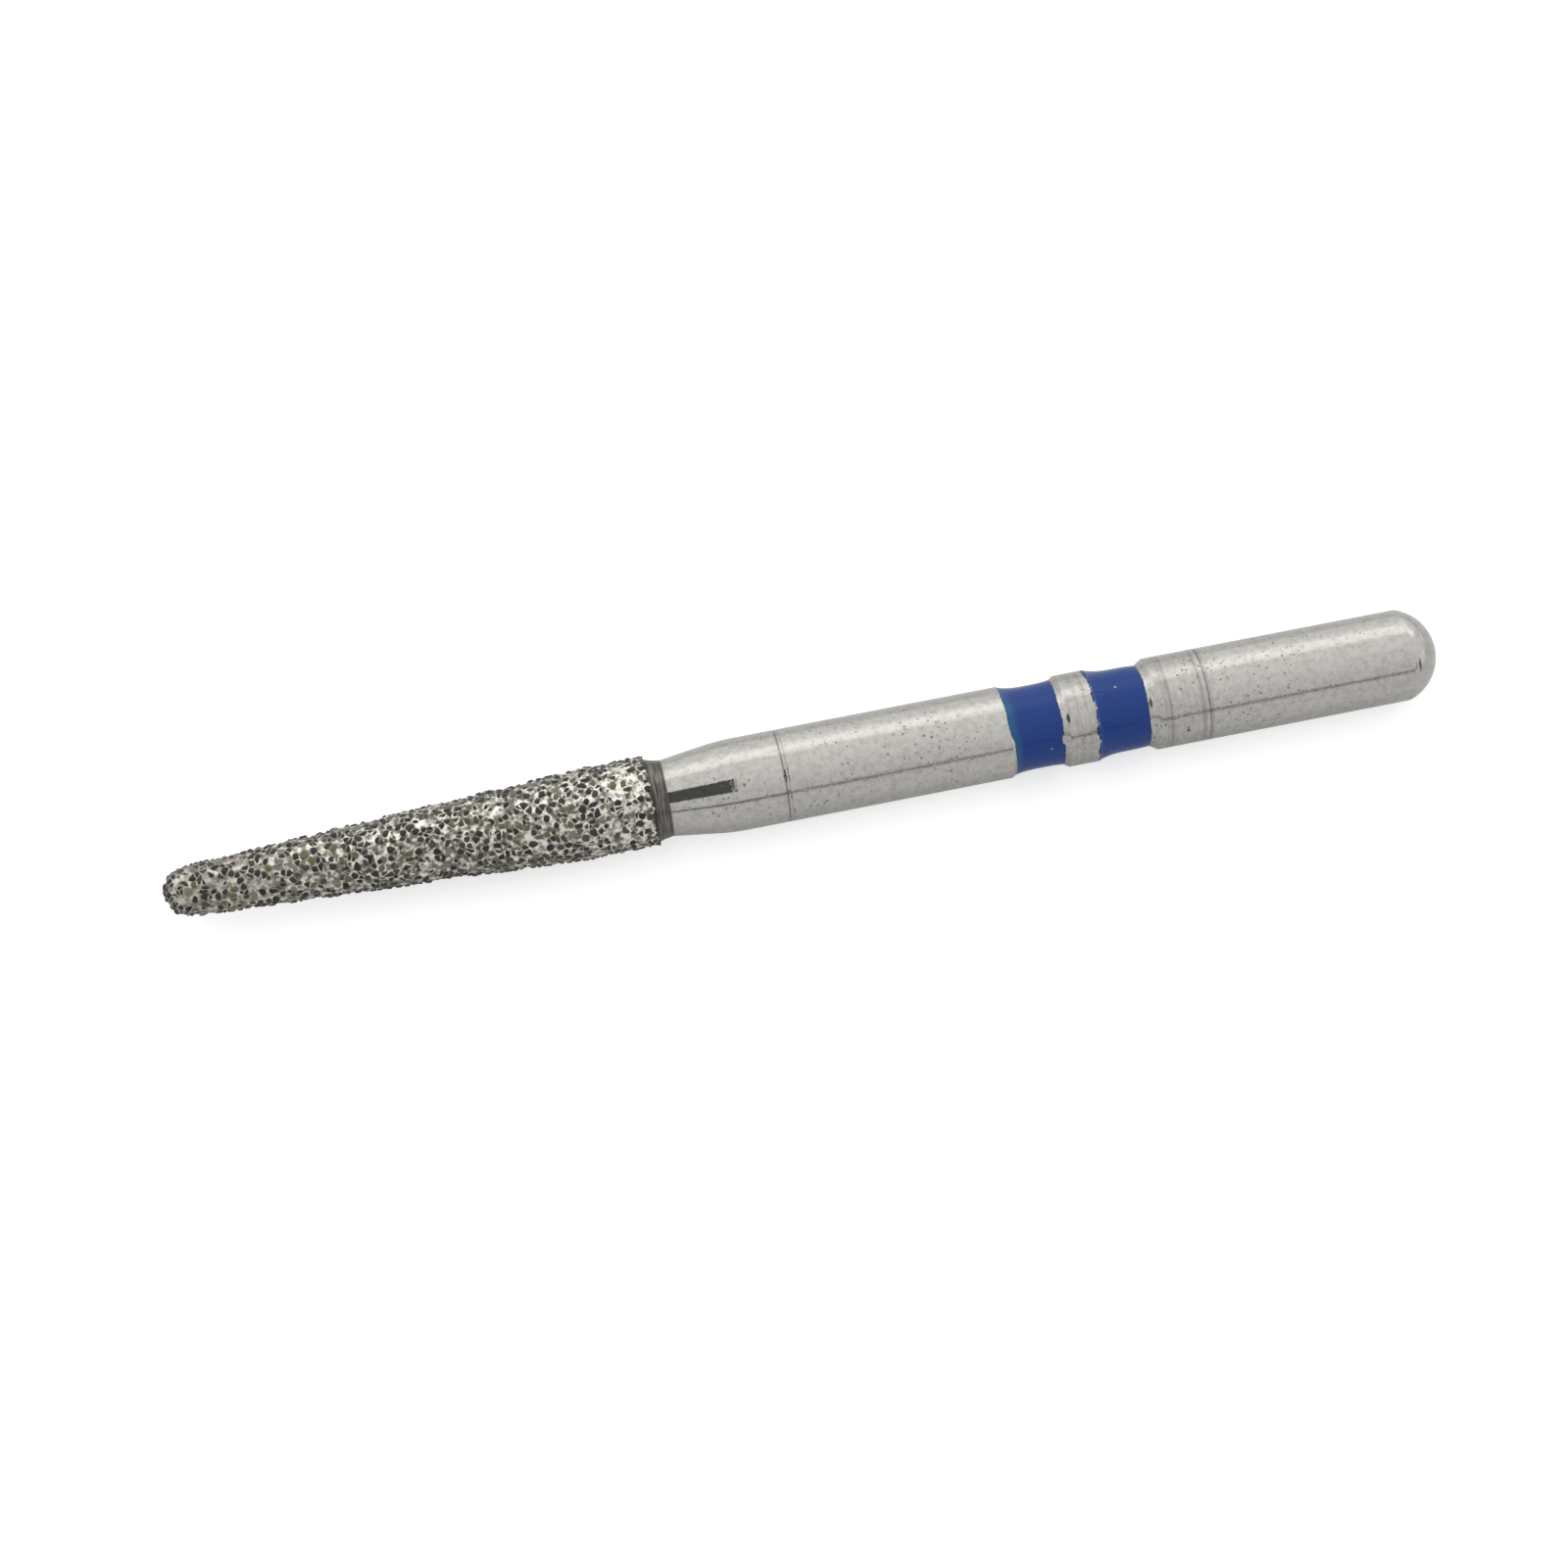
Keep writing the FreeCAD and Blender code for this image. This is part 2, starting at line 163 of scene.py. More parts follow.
def fill_ramp(ramp: bpy.types.ColorRamp, stops: Outline) -> None:
    """Gives a new colour ramp its grey levels.

    Args:
        ramp: The ramp.
        stops: Each stop's position and level.
    """
    while len(ramp.elements) < len(stops):
        ramp.elements.new(1.0)
    for element, (position, level) in zip(ramp.elements, stops):
        element.position = position
        element.color = (level, level, level, 1.0)


def round_corners(corners: list[tuple[float, float, float]], steps: int = 5) -> Outline:
    """Rounds the corners of an open outline.

    Args:
        corners: Points as place, radius and the corner's rounding, zero for a plain point.
        steps: Runs that each rounding is drawn with.

    Returns:
        Points of the rounded outline.
    """
    outline: Outline = []
    for number, (x, radius, rounding) in enumerate(corners):
        if rounding == 0 or number in (0, len(corners) - 1):
            outline.append((x, radius))
            continue
        here = np.array((x, radius))
        back = np.array(corners[number - 1][:2]) - here
        ahead = np.array(corners[number + 1][:2]) - here
        back /= np.linalg.norm(back)
        ahead /= np.linalg.norm(ahead)
        half = math.acos(float(np.clip(back @ ahead, -1, 1))) / 2
        middle = here + (back + ahead) / np.linalg.norm(back + ahead) * rounding / math.sin(half)
        first = here + back * rounding / math.tan(half)
        last = here + ahead * rounding / math.tan(half)
        start = math.atan2(*(first - middle)[::-1])
        turn = (math.atan2(*(last - middle)[::-1]) - start + math.pi) % (2 * math.pi) - math.pi
        for step in range(steps + 1):
            angle = start + turn * step / steps
            outline.append((middle[0] + rounding * math.cos(angle), middle[1] + rounding * math.sin(angle)))
    return outline


def support_runs(outline: Outline, longest: float, near: float) -> Outline:
    """Adds points on long straight runs, so that smooth shading stays true beside a rounding.

    Args:
        outline: The outline's points.
        longest: The longest run that is left undivided.
        near: How far from a run's ends its outer points stand.

    Returns:
        The outline with the added points.
    """
    filled: Outline = [outline[0]]
    for (x0, r0), (x1, r1) in zip(outline, outline[1:]):
        length = math.hypot(x1 - x0, r1 - r0)
        if length > 4 * near:
            pieces = max(1, math.ceil((length - 2 * near) / longest))
            for step in range(pieces + 1):
                share = (near + (length - 2 * near) * step / pieces) / length
                filled.append((x0 + (x1 - x0) * share, r0 + (r1 - r0) * share))
        filled.append((x1, r1))
    return filled


def wave(turn: np.ndarray, seed: int, terms: tuple[int, ...]) -> np.ndarray:
    """A repeatable wave round the axis, between about -1 and 1.

    Args:
        turn: Angles round the axis.
        seed: Chooses the phases.
        terms: How many times each part of the wave goes round.

    Returns:
        The wave's value at each angle.
    """
    phases = np.random.default_rng(seed).uniform(0, 2 * math.pi, len(terms))
    parts = [np.sin(count * turn + phase) for count, phase in zip(terms, phases)]
    return np.sum(parts, axis=0) / math.sqrt(len(terms))


def skin_rings(name: str, rings: np.ndarray, poles: bool) -> bpy.types.Object:
    """Skins rings of points into one closed, smooth mesh.

    Args:
        name: The piece's name.
        rings: Points in millimetres in the frame's axes, by ring, turn and coordinate.
        poles: Whether the first and last ring close on the axis. Otherwise they join each other.

    Returns:
        The new object, linked to the scene.
    """
    count, around, _ = rings.shape
    points = rings.reshape(-1, 3)
    here = np.arange(around)
    following = (here + 1) % around
    faces: list[list[int]] = []
    for ring in range(count - 1 if poles else count):
        near = ring * around
        far = (ring + 1) % count * around
        faces += np.stack((near + here, near + following, far + following, far + here), 1).tolist()
    if poles:
        ends = rings[(0, -1), :, :].mean(axis=1)
        points = np.vstack((points, ends))
        first, last = count * around, count * around + 1
        base = (count - 1) * around
        faces += [[first, int(b), int(a)] for a, b in zip(here, following)]
        faces += [[last, base + int(a), base + int(b)] for a, b in zip(here, following)]
    mesh = bpy.data.meshes.new(name)
    mesh.from_pydata((points * MM).tolist(), [], faces)
    work = bmesh.new()
    work.from_mesh(mesh)
    bmesh.ops.recalc_face_normals(work, faces=work.faces)
    work.to_mesh(mesh)
    work.free()
    mesh.shade_smooth()
    piece = bpy.data.objects.new(name, mesh)
    bpy.context.scene.collection.objects.link(piece)
    return piece


def lathe(outline: Outline, around: int, offset: float) -> np.ndarray:
    """Turns an outline about the axis.

    Args:
        outline: Points as place and radius.
        around: Points in each ring.
        offset: What is added to a place to give the frame's X.

    Returns:
        Rings of points for skin_rings.
    """
    turn = np.arange(around) * 2 * math.pi / around
    places = np.array(outline)
    x = np.repeat(places[:, :1] + offset, around, axis=1)
    return np.stack((x, places[:, 1:] * np.cos(turn), places[:, 1:] * np.sin(turn)), axis=2)


@dataclass(frozen=True)
class SatinShankSteel:
    """Hardened stainless steel, turned and then tumbled.

    Tumbling gives the eye a grey gloss that a fine satin grain breaks up. The turning tool leaves
    dark rings, the bath leaves pits in clusters, and the shoulder beside the plated head is duller.
    Dark lines and marks at the neck's root, behind the coat, in the scribe notches and in slits by the
    grooves are painted shade, and a dark mark on the end's rim is a painted reflection.
    """

    colour: str = "#C2C0BB"
    stain: str = "#A3A09A"
    pit_and_painted_shade: str = "#3E3B37"
    ring: str = "#6E6B67"
    shoulder: str = "#85807A"
    shoulder_dark: str = "#3A3733"
    shank_roughness: float = 0.085
    neck_roughness: float = 0.055
    shoulder_roughness: float = 0.22
    ring_strength: float = 0.30
    painted_mark_strength: float = 0.90
    # The tumbled grain is really about 0.01 mm and the tool rings 0.02 mm. Both are drawn coarser,
    # because finer ones don't show in the render.
    satin_grain: float = 0.050
    satin_depth: float = 0.0021
    tool_ring_pitch: float = 0.032
    tool_ring_depth: float = 0.0016
    stain_spread: float = 0.11
    cluster_spread: float = 1.10
    pit_spacing: float = 0.110
    pit_size: float = 0.030
    large_pit_spacing: float = 1.35
    large_pit_size: float = 0.055

    def _near(self, tree: Tree, along: Wire, place: float, width: float) -> Wire:
        """Gives 1 on a ring round the axis and 0 beside it.

        Args:
            tree: The material's node tree.
            along: The place along the axis in millimetres.
            place: The ring's place in the same measure.
            width: The ring's width.

        Returns:
            The share.
        """
        away = add_node(tree, "Math", {0: along, 1: place}, operation="SUBTRACT")
        apart = add_node(tree, "Math", {0: away}, operation="ABSOLUTE")
        return add_node(tree, "MapRange", {
            "Value": apart, "From Min": width * 0.75, "From Max": width * 0.25,
        }, **SMOOTH)

    def _spots(self, tree: Tree, mm: Wire, spacing: float, size: float) -> Wire:
        """Gives 1 in scattered pits and 0 between them.

        Args:
            tree: The material's node tree.
            mm: The place in millimetres.
            spacing: How far apart the pits are on average.
            size: A pit's radius.

        Returns:
            The share.
        """
        bend = add_node(tree, "TexNoise", {"Vector": mm, "Scale": 0.7 / size, "Detail": 1.0})
        bent = add_node(tree, "VectorMath", {
            0: bend.outputs["Color"], 1: (1.6 * size,) * 3, 2: mm,
        }, operation="MULTIPLY_ADD")
        cells = add_node(tree, "TexVoronoi", {"Vector": bent, "Scale": 1 / spacing})
        return add_node(tree, "MapRange", {
            "Value": cells.outputs["Distance"], "From Min": size / spacing, "From Max": 0.35 * size / spacing,
        }, **SMOOTH)

    def _painted_mark(self, tree: Tree, mm: Wire, painted_mark: PaintedMark, blank: "SteelBlank", offset: float) -> Wire:
        """Gives 1 in one dark mark and 0 round it; most of these marks are painted shade and painted
        reflection.

        Args:
            tree: The material's node tree.
            mm: The place in millimetres.
            painted_mark: Its place, its turn in degrees, and its size along and round the axis.
            blank: The blank that carries the mark.
            offset: What is added to a place to give the frame's X.

        Returns:
            The share.
        """
        place, degrees, along, across = painted_mark
        turn = math.radians(degrees)
        radius = float(blank.radius_at(np.array([place]))[0])
        local = add_node(tree, "Mapping", {
            "Vector": mm, "Rotation": (turn, 0.0, 0.0), "Scale": (along / 2, 0.1, across / 2),
            "Location": (place + offset, radius * math.cos(turn), radius * math.sin(turn)),
        }, vector_type="TEXTURE")
        apart = add_node(tree, "VectorMath", {0: local}, operation="LENGTH").outputs["Value"]
        return add_node(tree, "MapRange", {
            "Value": apart, "From Min": 1.3, "From Max": 0.3, "To Max": self.painted_mark_strength,
        }, **SMOOTH)

    def material(self, blank: "SteelBlank", offset: float) -> bpy.types.Material:
        """Builds the steel's material.

        Args:
            blank: The blank, whose places mark where the finish changes.
            offset: What is added to a place to give the frame's X.

        Returns:
            The material.
        """
        made, tree = new_material("tumbled_stainless_steel")
        source = add_node(tree, "TexCoord").outputs["Object"]
        mm = millimetres(tree, source)
        along = add_node(tree, "SeparateXYZ", {0: mm}).outputs["X"]

        ringed = add_node(tree, "VectorMath", {0: mm, 1: (1.0, 0.06, 0.06)}, operation="MULTIPLY")
        rings = add_node(tree, "TexNoise", {
            "Vector": ringed, "Scale": 1 / self.tool_ring_pitch, "Detail": 3.0, "Roughness": 0.7,
        }).outputs["Fac"]
        satin = add_node(tree, "TexNoise", {
            "Vector": mm, "Scale": 1 / self.satin_grain, "Detail": 3.0, "Roughness": 0.6,
        }).outputs["Fac"]
        stain = add_node(tree, "TexNoise", {
            "Vector": mm, "Scale": 1 / self.stain_spread, "Detail": 5.0, "Roughness": 0.75,
        }).outputs["Fac"]
        cluster = add_node(tree, "TexNoise", {"Vector": mm, "Scale": 1 / self.cluster_spread}).outputs["Fac"]
        clustered = add_node(tree, "MapRange", {
            "Value": cluster, "From Min": 0.44, "From Max": 0.60, "To Min": 0.05, "To Max": 0.62,
        }, **SMOOTH)
        small_pits = add_node(tree, "Math", {
            0: self._spots(tree, mm, self.pit_spacing, self.pit_size), 1: clustered,
        }, operation="MULTIPLY")
        pits_and_painted_marks = add_node(tree, "Math", {
            0: small_pits, 1: self._spots(tree, mm, self.large_pit_spacing, self.large_pit_size),
        }, operation="MAXIMUM")
        # The painted shade and painted reflection marks join the pits, in colour and in the bump.
        for painted_mark in blank.dot_and_painted_light_marks:
            pits_and_painted_marks = add_node(tree, "Math", {0: pits_and_painted_marks, 1: self._painted_mark(tree, mm, painted_mark, blank, offset)},
                            operation="MAXIMUM")

        behind = add_node(tree, "MapRange", {
            "Value": along,
            "From Min": blank.neck_root + offset + 0.005, "From Max": blank.neck_root + offset - 0.025,
        }, **SMOOTH)
        worked = self._ringed_share(tree, along, blank, offset)
        # Dark lines, some of them painted shade in corners and notches.
        line_and_painted_shade: Any = 0.0
        for place, width, depth in blank.dark_lines_and_painted_shade:
            near = self._near(tree, along, place + offset, width)
            faded = add_node(tree, "Math", {0: near, 1: depth}, operation="MULTIPLY")
            line_and_painted_shade = add_node(tree, "Math", {0: line_and_painted_shade, 1: faded}, operation="MAXIMUM")

        stain_share = add_node(tree, "MapRange", {
            "Value": stain, "From Min": 0.44, "From Max": 0.70, "To Max": 0.85,
        })
        ring_tone = add_node(tree, "MapRange", {"Value": rings, "From Min": 0.35, "From Max": 0.65})
        ring_share = add_node(tree, "Math", {0: ring_tone, 1: worked}, operation="MULTIPLY")
        ring_shade = add_node(tree, "Math", {0: ring_share, 1: self.ring_strength}, operation="MULTIPLY")
        dull = add_node(tree, "Mix", {
            0: ring_tone, 6: linear(self.shoulder), 7: linear(self.shoulder_dark),
        }, data_type="RGBA").outputs[2]
        # The last two mixes lay the dark pit colour on pits and turning marks, and on painted shade in
        # corners, notches and slits and a painted reflection on the end.
        colour = linear(self.colour)
        for cover, tint in ((stain_share, linear(self.stain)), (ring_shade, linear(self.ring)),
                            (behind, dull), (line_and_painted_shade, linear(self.pit_and_painted_shade)), (pits_and_painted_marks, linear(self.pit_and_painted_shade))):
            colour = add_node(tree, "Mix", {0: cover, 6: colour, 7: tint}, data_type="RGBA").outputs[2]

        polish = add_node(tree, "MapRange", {
            "Value": along,
            "From Min": blank.scribe_place + offset - 0.25, "From Max": blank.scribe_place + offset + 0.05,
            "To Min": self.neck_roughness, "To Max": self.shank_roughness,
        })
        rough = add_node(tree, "Math", {0: behind, 1: self.shoulder_roughness, 2: polish},
                         operation="MULTIPLY_ADD")

        ring_height = add_node(tree, "Math", {0: rings, 1: worked}, operation="MULTIPLY")
        pitted = add_node(tree, "Math", {0: pits_and_painted_marks, 1: -3.0, 2: satin}, operation="MULTIPLY_ADD")
        grained = add_node(tree, "MapRange", {
            "Value": along,
            "From Min": blank.scribe_place + offset - 0.10, "From Max": blank.scribe_place + offset + 0.05,
            "To Min": 0.42, "To Max": 1.0,
        })
        fine = add_node(tree, "Bump", {
            "Strength": grained, "Distance": self.satin_depth * MM, "Height": pitted,
        })
        bump = add_node(tree, "Bump", {
            "Strength": 1.0, "Distance": self.tool_ring_depth * MM, "Height": ring_height, "Normal": fine,
        })
        shader = add_node(tree, "BsdfPrincipled", {
            "Base Color": colour, "Metallic": 1.0, "Roughness": rough, "Normal": bump,
        })
        add_node(tree, "OutputMaterial", {"Surface": shader})
        return made

    def _ringed_share(self, tree: Tree, along: Wire, blank: "SteelBlank", offset: float) -> Wire:
        """Gives how strongly the turning tool's rings show at each place along the axis.

        Args:
            tree: The material's node tree.
            along: The place along the axis in millimetres.
            blank: The blank.
            offset: What is added to a place to give the frame's X.

        Returns:
            A share that rises on the land, behind the grooves and on the shoulder.
        """
        span = blank.length - blank.coat_end
        ramp = add_node(tree, "ValToRGB", {"Fac": add_node(tree, "MapRange", {
            "Value": along, "From Min": blank.coat_end + offset, "From Max": blank.length + offset,
        })})
        stops = (
            (blank.coat_end, 1.0), (blank.neck_root, 0.9), (blank.neck_root + 0.05, 0.12),
            (blank.front_groove[0] - 0.1, 0.12), (blank.front_groove[1] - 0.1, 1.0),
            (blank.rear_groove[0] + 0.1, 1.0), (blank.rear_groove[1], 0.85), (blank.worked_end, 0.85),
            (blank.worked_end + 0.05, 0.12), (blank.length, 0.15),
        )
        fill_ramp(ramp.color_ramp, [((place - blank.coat_end) / span, level) for place, level in stops])
        return ramp.outputs["Color"]


@dataclass(frozen=True)
class NickelBondedDiamond:
    """Natural diamond grit held in electroplated nickel.

    The nickel climbs round each grain, so the eye sees a warm net, bright in patches, with a dark
    rounded grain in each mesh. At the rear the net is whiter and at the tip it is duller.
    """

    nickel: str = "#EFEBE1"
    grey_nickel: str = "#77736A"
    dull_nickel: str = "#A39C8E"
    grain_dark: str = "#100F0E"
    grain_brown: str = "#474238"
    grain_grey: str = "#77736B"
    grain_olive: str = "#5E5A3B"
    grey_from: float = 0.80
    olive_from: float = 0.88
    grain_pitch: float = 0.128
    grain_round: float = 0.60
    net_width: float = 0.020
    grain_rise: float = 0.046
    facet_tilt: float = 0.030
    lump_rise: float = 0.022
    lump_spread: float = 0.42
    most_rise: float = 0.046
    net_roughness: float = 0.30
    grain_roughness: float = 0.38
    bright_spread: float = 0.105
    fray: float = 0.16
    grain_gain: float = 0.092
    rear_widening: float = 0.02
    rear_whitening: float = 0.045
    tip_dullness: float = 0.5

    def grains(self, tree: Tree, mm: Wire) -> dict[str, Wire]:
        """Adds the pattern of grains, the same for the shape as for the finish.

        Args:
            tree: A shader's or a geometry's node tree.
            mm: The place on the undisturbed coat in millimetres.

        Returns:
            Sockets "inside", how far a place is inside its rounded grain, "pick", three chances of
            the grain, "outward", the way from the grain's middle, and "lump", a slow unevenness.
        """
        bend = add_node(tree, "TexNoise", {"Vector": mm, "Scale": 0.6 / self.grain_pitch, "Detail": 1.0})
        drift = add_node(tree, "VectorMath", {0: bend.outputs["Color"], 1: (0.5, 0.5, 0.5)},
                         operation="SUBTRACT")
        bent = add_node(tree, "VectorMath", {
            0: drift, 1: (1.1 * self.grain_pitch,) * 3, 2: mm,
        }, operation="MULTIPLY_ADD")
        edge = add_node(tree, "TexVoronoi", {
            "Vector": bent, "Scale": 1 / self.grain_pitch,
        }, feature="DISTANCE_TO_EDGE")
        cell = add_node(tree, "TexVoronoi", {"Vector": bent, "Scale": 1 / self.grain_pitch})
        rounded = add_node(tree, "Math", {0: self.grain_round, 1: cell.outputs["Distance"]},
                           operation="SUBTRACT")
        inside = add_node(tree, "Math", {
            0: edge.outputs["Distance"], 1: rounded, 2: 0.12,
        }, operation="SMOOTH_MIN")
        lump = add_node(tree, "TexNoise", {"Vector": mm, "Scale": 1 / self.lump_spread})
        outward = add_node(tree, "VectorMath", {0: bent, 1: cell.outputs["Position"]}, operation="SUBTRACT")
        return {
            "inside": inside,
            "pick": cell.outputs["Color"],
            "outward": outward,
            "lump": lump.outputs["Fac"],
        }

    def material(self, coat: "DiamondCoat", offset: float) -> bpy.types.Material:
        """Builds the coat's material.

        Args:
            coat: The coat, whose places mark where the net changes.
            offset: What is added to a place to give the frame's X.

        Returns:
            The material.
        """
        made, tree = new_material("diamond_in_plated_nickel")
        rest = add_node(tree, "Attribute", attribute_name="rest").outputs["Vector"]
        mm = millimetres(tree, rest)
        along = add_node(tree, "SeparateXYZ", {0: mm}).outputs["X"]
        grains = self.grains(tree, mm)
        chance = add_node(tree, "SeparateColor", {0: grains["pick"]}).outputs

        rearward = add_node(tree, "MapRange", {
            "Value": along, "From Min": coat.rear + offset - 2.6, "From Max": coat.rear + offset,
        }, **SMOOTH)
        tipward = add_node(tree, "MapRange", {
            "Value": along, "From Min": coat.apex + offset + 3.4, "From Max": coat.apex + offset,
            "To Max": self.tip_dullness,
        }, **SMOOTH)

        half_net = self.net_width / 2 / self.grain_pitch
        fray = add_node(tree, "TexNoise", {"Vector": mm, "Scale": 1.8 / self.grain_pitch}).outputs["Fac"]
        frayed = add_node(tree, "Math", {0: fray, 1: -self.fray, 2: grains["inside"]},
                          operation="MULTIPLY_ADD")
        level = add_node(tree, "Math", {0: frayed, 1: self.grain_gain})
        wider = add_node(tree, "Math", {0: rearward, 1: -self.rear_widening, 2: level},
                         operation="MULTIPLY_ADD")
        grain = add_node(tree, "MapRange", {
            "Value": wider, "From Min": 0.5 * half_net, "From Max": 1.7 * half_net,
        }, **SMOOTH)

        patch = add_node(tree, "TexNoise", {
            "Vector": mm, "Scale": 1 / self.bright_spread, "Detail": 3.0, "Roughness": 0.6,
        }).outputs["Fac"]
        whiter = add_node(tree, "Math", {0: rearward, 1: -self.rear_whitening, 2: patch},
                          operation="MULTIPLY_ADD")
        greyed = add_node(tree, "MapRange", {"Value": whiter, "From Min": 0.38, "From Max": 0.56})
        net = linear(self.nickel)
        for cover, tint in ((greyed, self.grey_nickel), (tipward, self.dull_nickel)):
            net = add_node(tree, "Mix", {0: cover, 6: net, 7: linear(tint)}, data_type="RGBA").outputs[2]
        tone = add_node(tree, "Math", {0: chance[1], 1: chance[1]}, operation="MULTIPLY")
        stone = add_node(tree, "Mix", {
            0: tone, 6: linear(self.grain_dark), 7: linear(self.grain_brown),
        }, data_type="RGBA").outputs[2]
        for start, tint in ((self.grey_from, self.grain_grey), (self.olive_from, self.grain_olive)):
            chosen = add_node(tree, "Math", {0: chance[2], 1: start}, operation="GREATER_THAN")
            stone = add_node(tree, "Mix", {0: chosen, 6: stone, 7: linear(tint)}, data_type="RGBA").outputs[2]
        speckle = add_node(tree, "TexNoise", {
            "Vector": mm, "Scale": 4 / self.grain_pitch, "Detail": 3.0, "Roughness": 0.7,
        }).outputs["Fac"]
        bump = add_node(tree, "Bump", {"Strength": 0.8, "Distance": 0.012 * MM, "Height": speckle})
        plated = add_node(tree, "BsdfPrincipled", {
            "Base Color": net, "Metallic": 1.0, "Roughness": self.net_roughness, "Normal": bump,
        })
        glassy = add_node(tree, "BsdfPrincipled", {
            "Base Color": stone, "Roughness": self.grain_roughness, "IOR": 1.45, "Normal": bump,
        })
        mixed = add_node(tree, "MixShader", {0: grain, 1: plated, 2: glassy})
        add_node(tree, "OutputMaterial", {"Surface": mixed})
        return made


@dataclass(frozen=True)
class StovedBlueEnamel:
    """Blue stoving enamel, run into a groove and baked.

    It gives the eye a deep glossy blue that thins to teal where it climbs the groove's walls, with
    pale specks, and chips along its ragged edges.
    """

    colour: str = "#0B347A"
    thin: str = "#1B5684"
    rim: str = "#16394F"
    speck: str = "#B9C6D6"
    thin_share: float = 0.75
    rim_reach: float = 0.022
    speck_spacing: float = 0.40
    speck_size: float = 0.026
    cloud_spread: float = 0.50

    def material(self) -> bpy.types.Material:
        """Builds the enamel's material, which reads each point's distance from the ring's edge.

        Returns:
            The material.
        """
        made, tree = new_material("stoved_blue_enamel")
        source = add_node(tree, "TexCoord").outputs["Object"]
        mm = millimetres(tree, source)
        inset = add_node(tree, "Attribute", attribute_name="inset").outputs["Fac"]
        shallow = add_node(tree, "Attribute", attribute_name="shallow").outputs["Fac"]
        thin = add_node(tree, "Math", {0: shallow, 1: self.thin_share}, operation="MULTIPLY")
        rim = add_node(tree, "MapRange", {
            "Value": inset, "From Min": 0.4 * self.rim_reach, "From Max": self.rim_reach,
            "To Min": 0.75, "To Max": 0.0,
        }, **SMOOTH)
        specks = add_node(tree, "TexVoronoi", {
            "Vector": mm, "Scale": 1 / self.speck_spacing,
        }).outputs["Distance"]
        speck = add_node(tree, "MapRange", {
            "Value": specks,
            "From Min": self.speck_size / self.speck_spacing,
            "From Max": 0.6 * self.speck_size / self.speck_spacing,
        }, **SMOOTH)
        cloud = add_node(tree, "TexNoise", {
            "Vector": mm, "Scale": 1 / self.cloud_spread, "Detail": 3.0,
        }).outputs["Fac"]
        rough = add_node(tree, "MapRange", {
            "Value": cloud, "From Min": 0.3, "From Max": 0.7, "To Min": 0.10, "To Max": 0.20,
        })
        colour = linear(self.colour)
        for cover, tint in ((thin, self.thin), (rim, self.rim), (speck, self.speck)):
            colour = add_node(tree, "Mix", {0: cover, 6: colour, 7: linear(tint)},
                              data_type="RGBA").outputs[2]
        bump = add_node(tree, "Bump", {"Strength": 0.25, "Distance": 0.010 * MM, "Height": cloud})
        shader = add_node(tree, "BsdfPrincipled", {
            "Base Color": colour, "Roughness": rough, "IOR": 1.38, "Normal": bump,
        })
        add_node(tree, "OutputMaterial", {"Surface": shader})
        return made


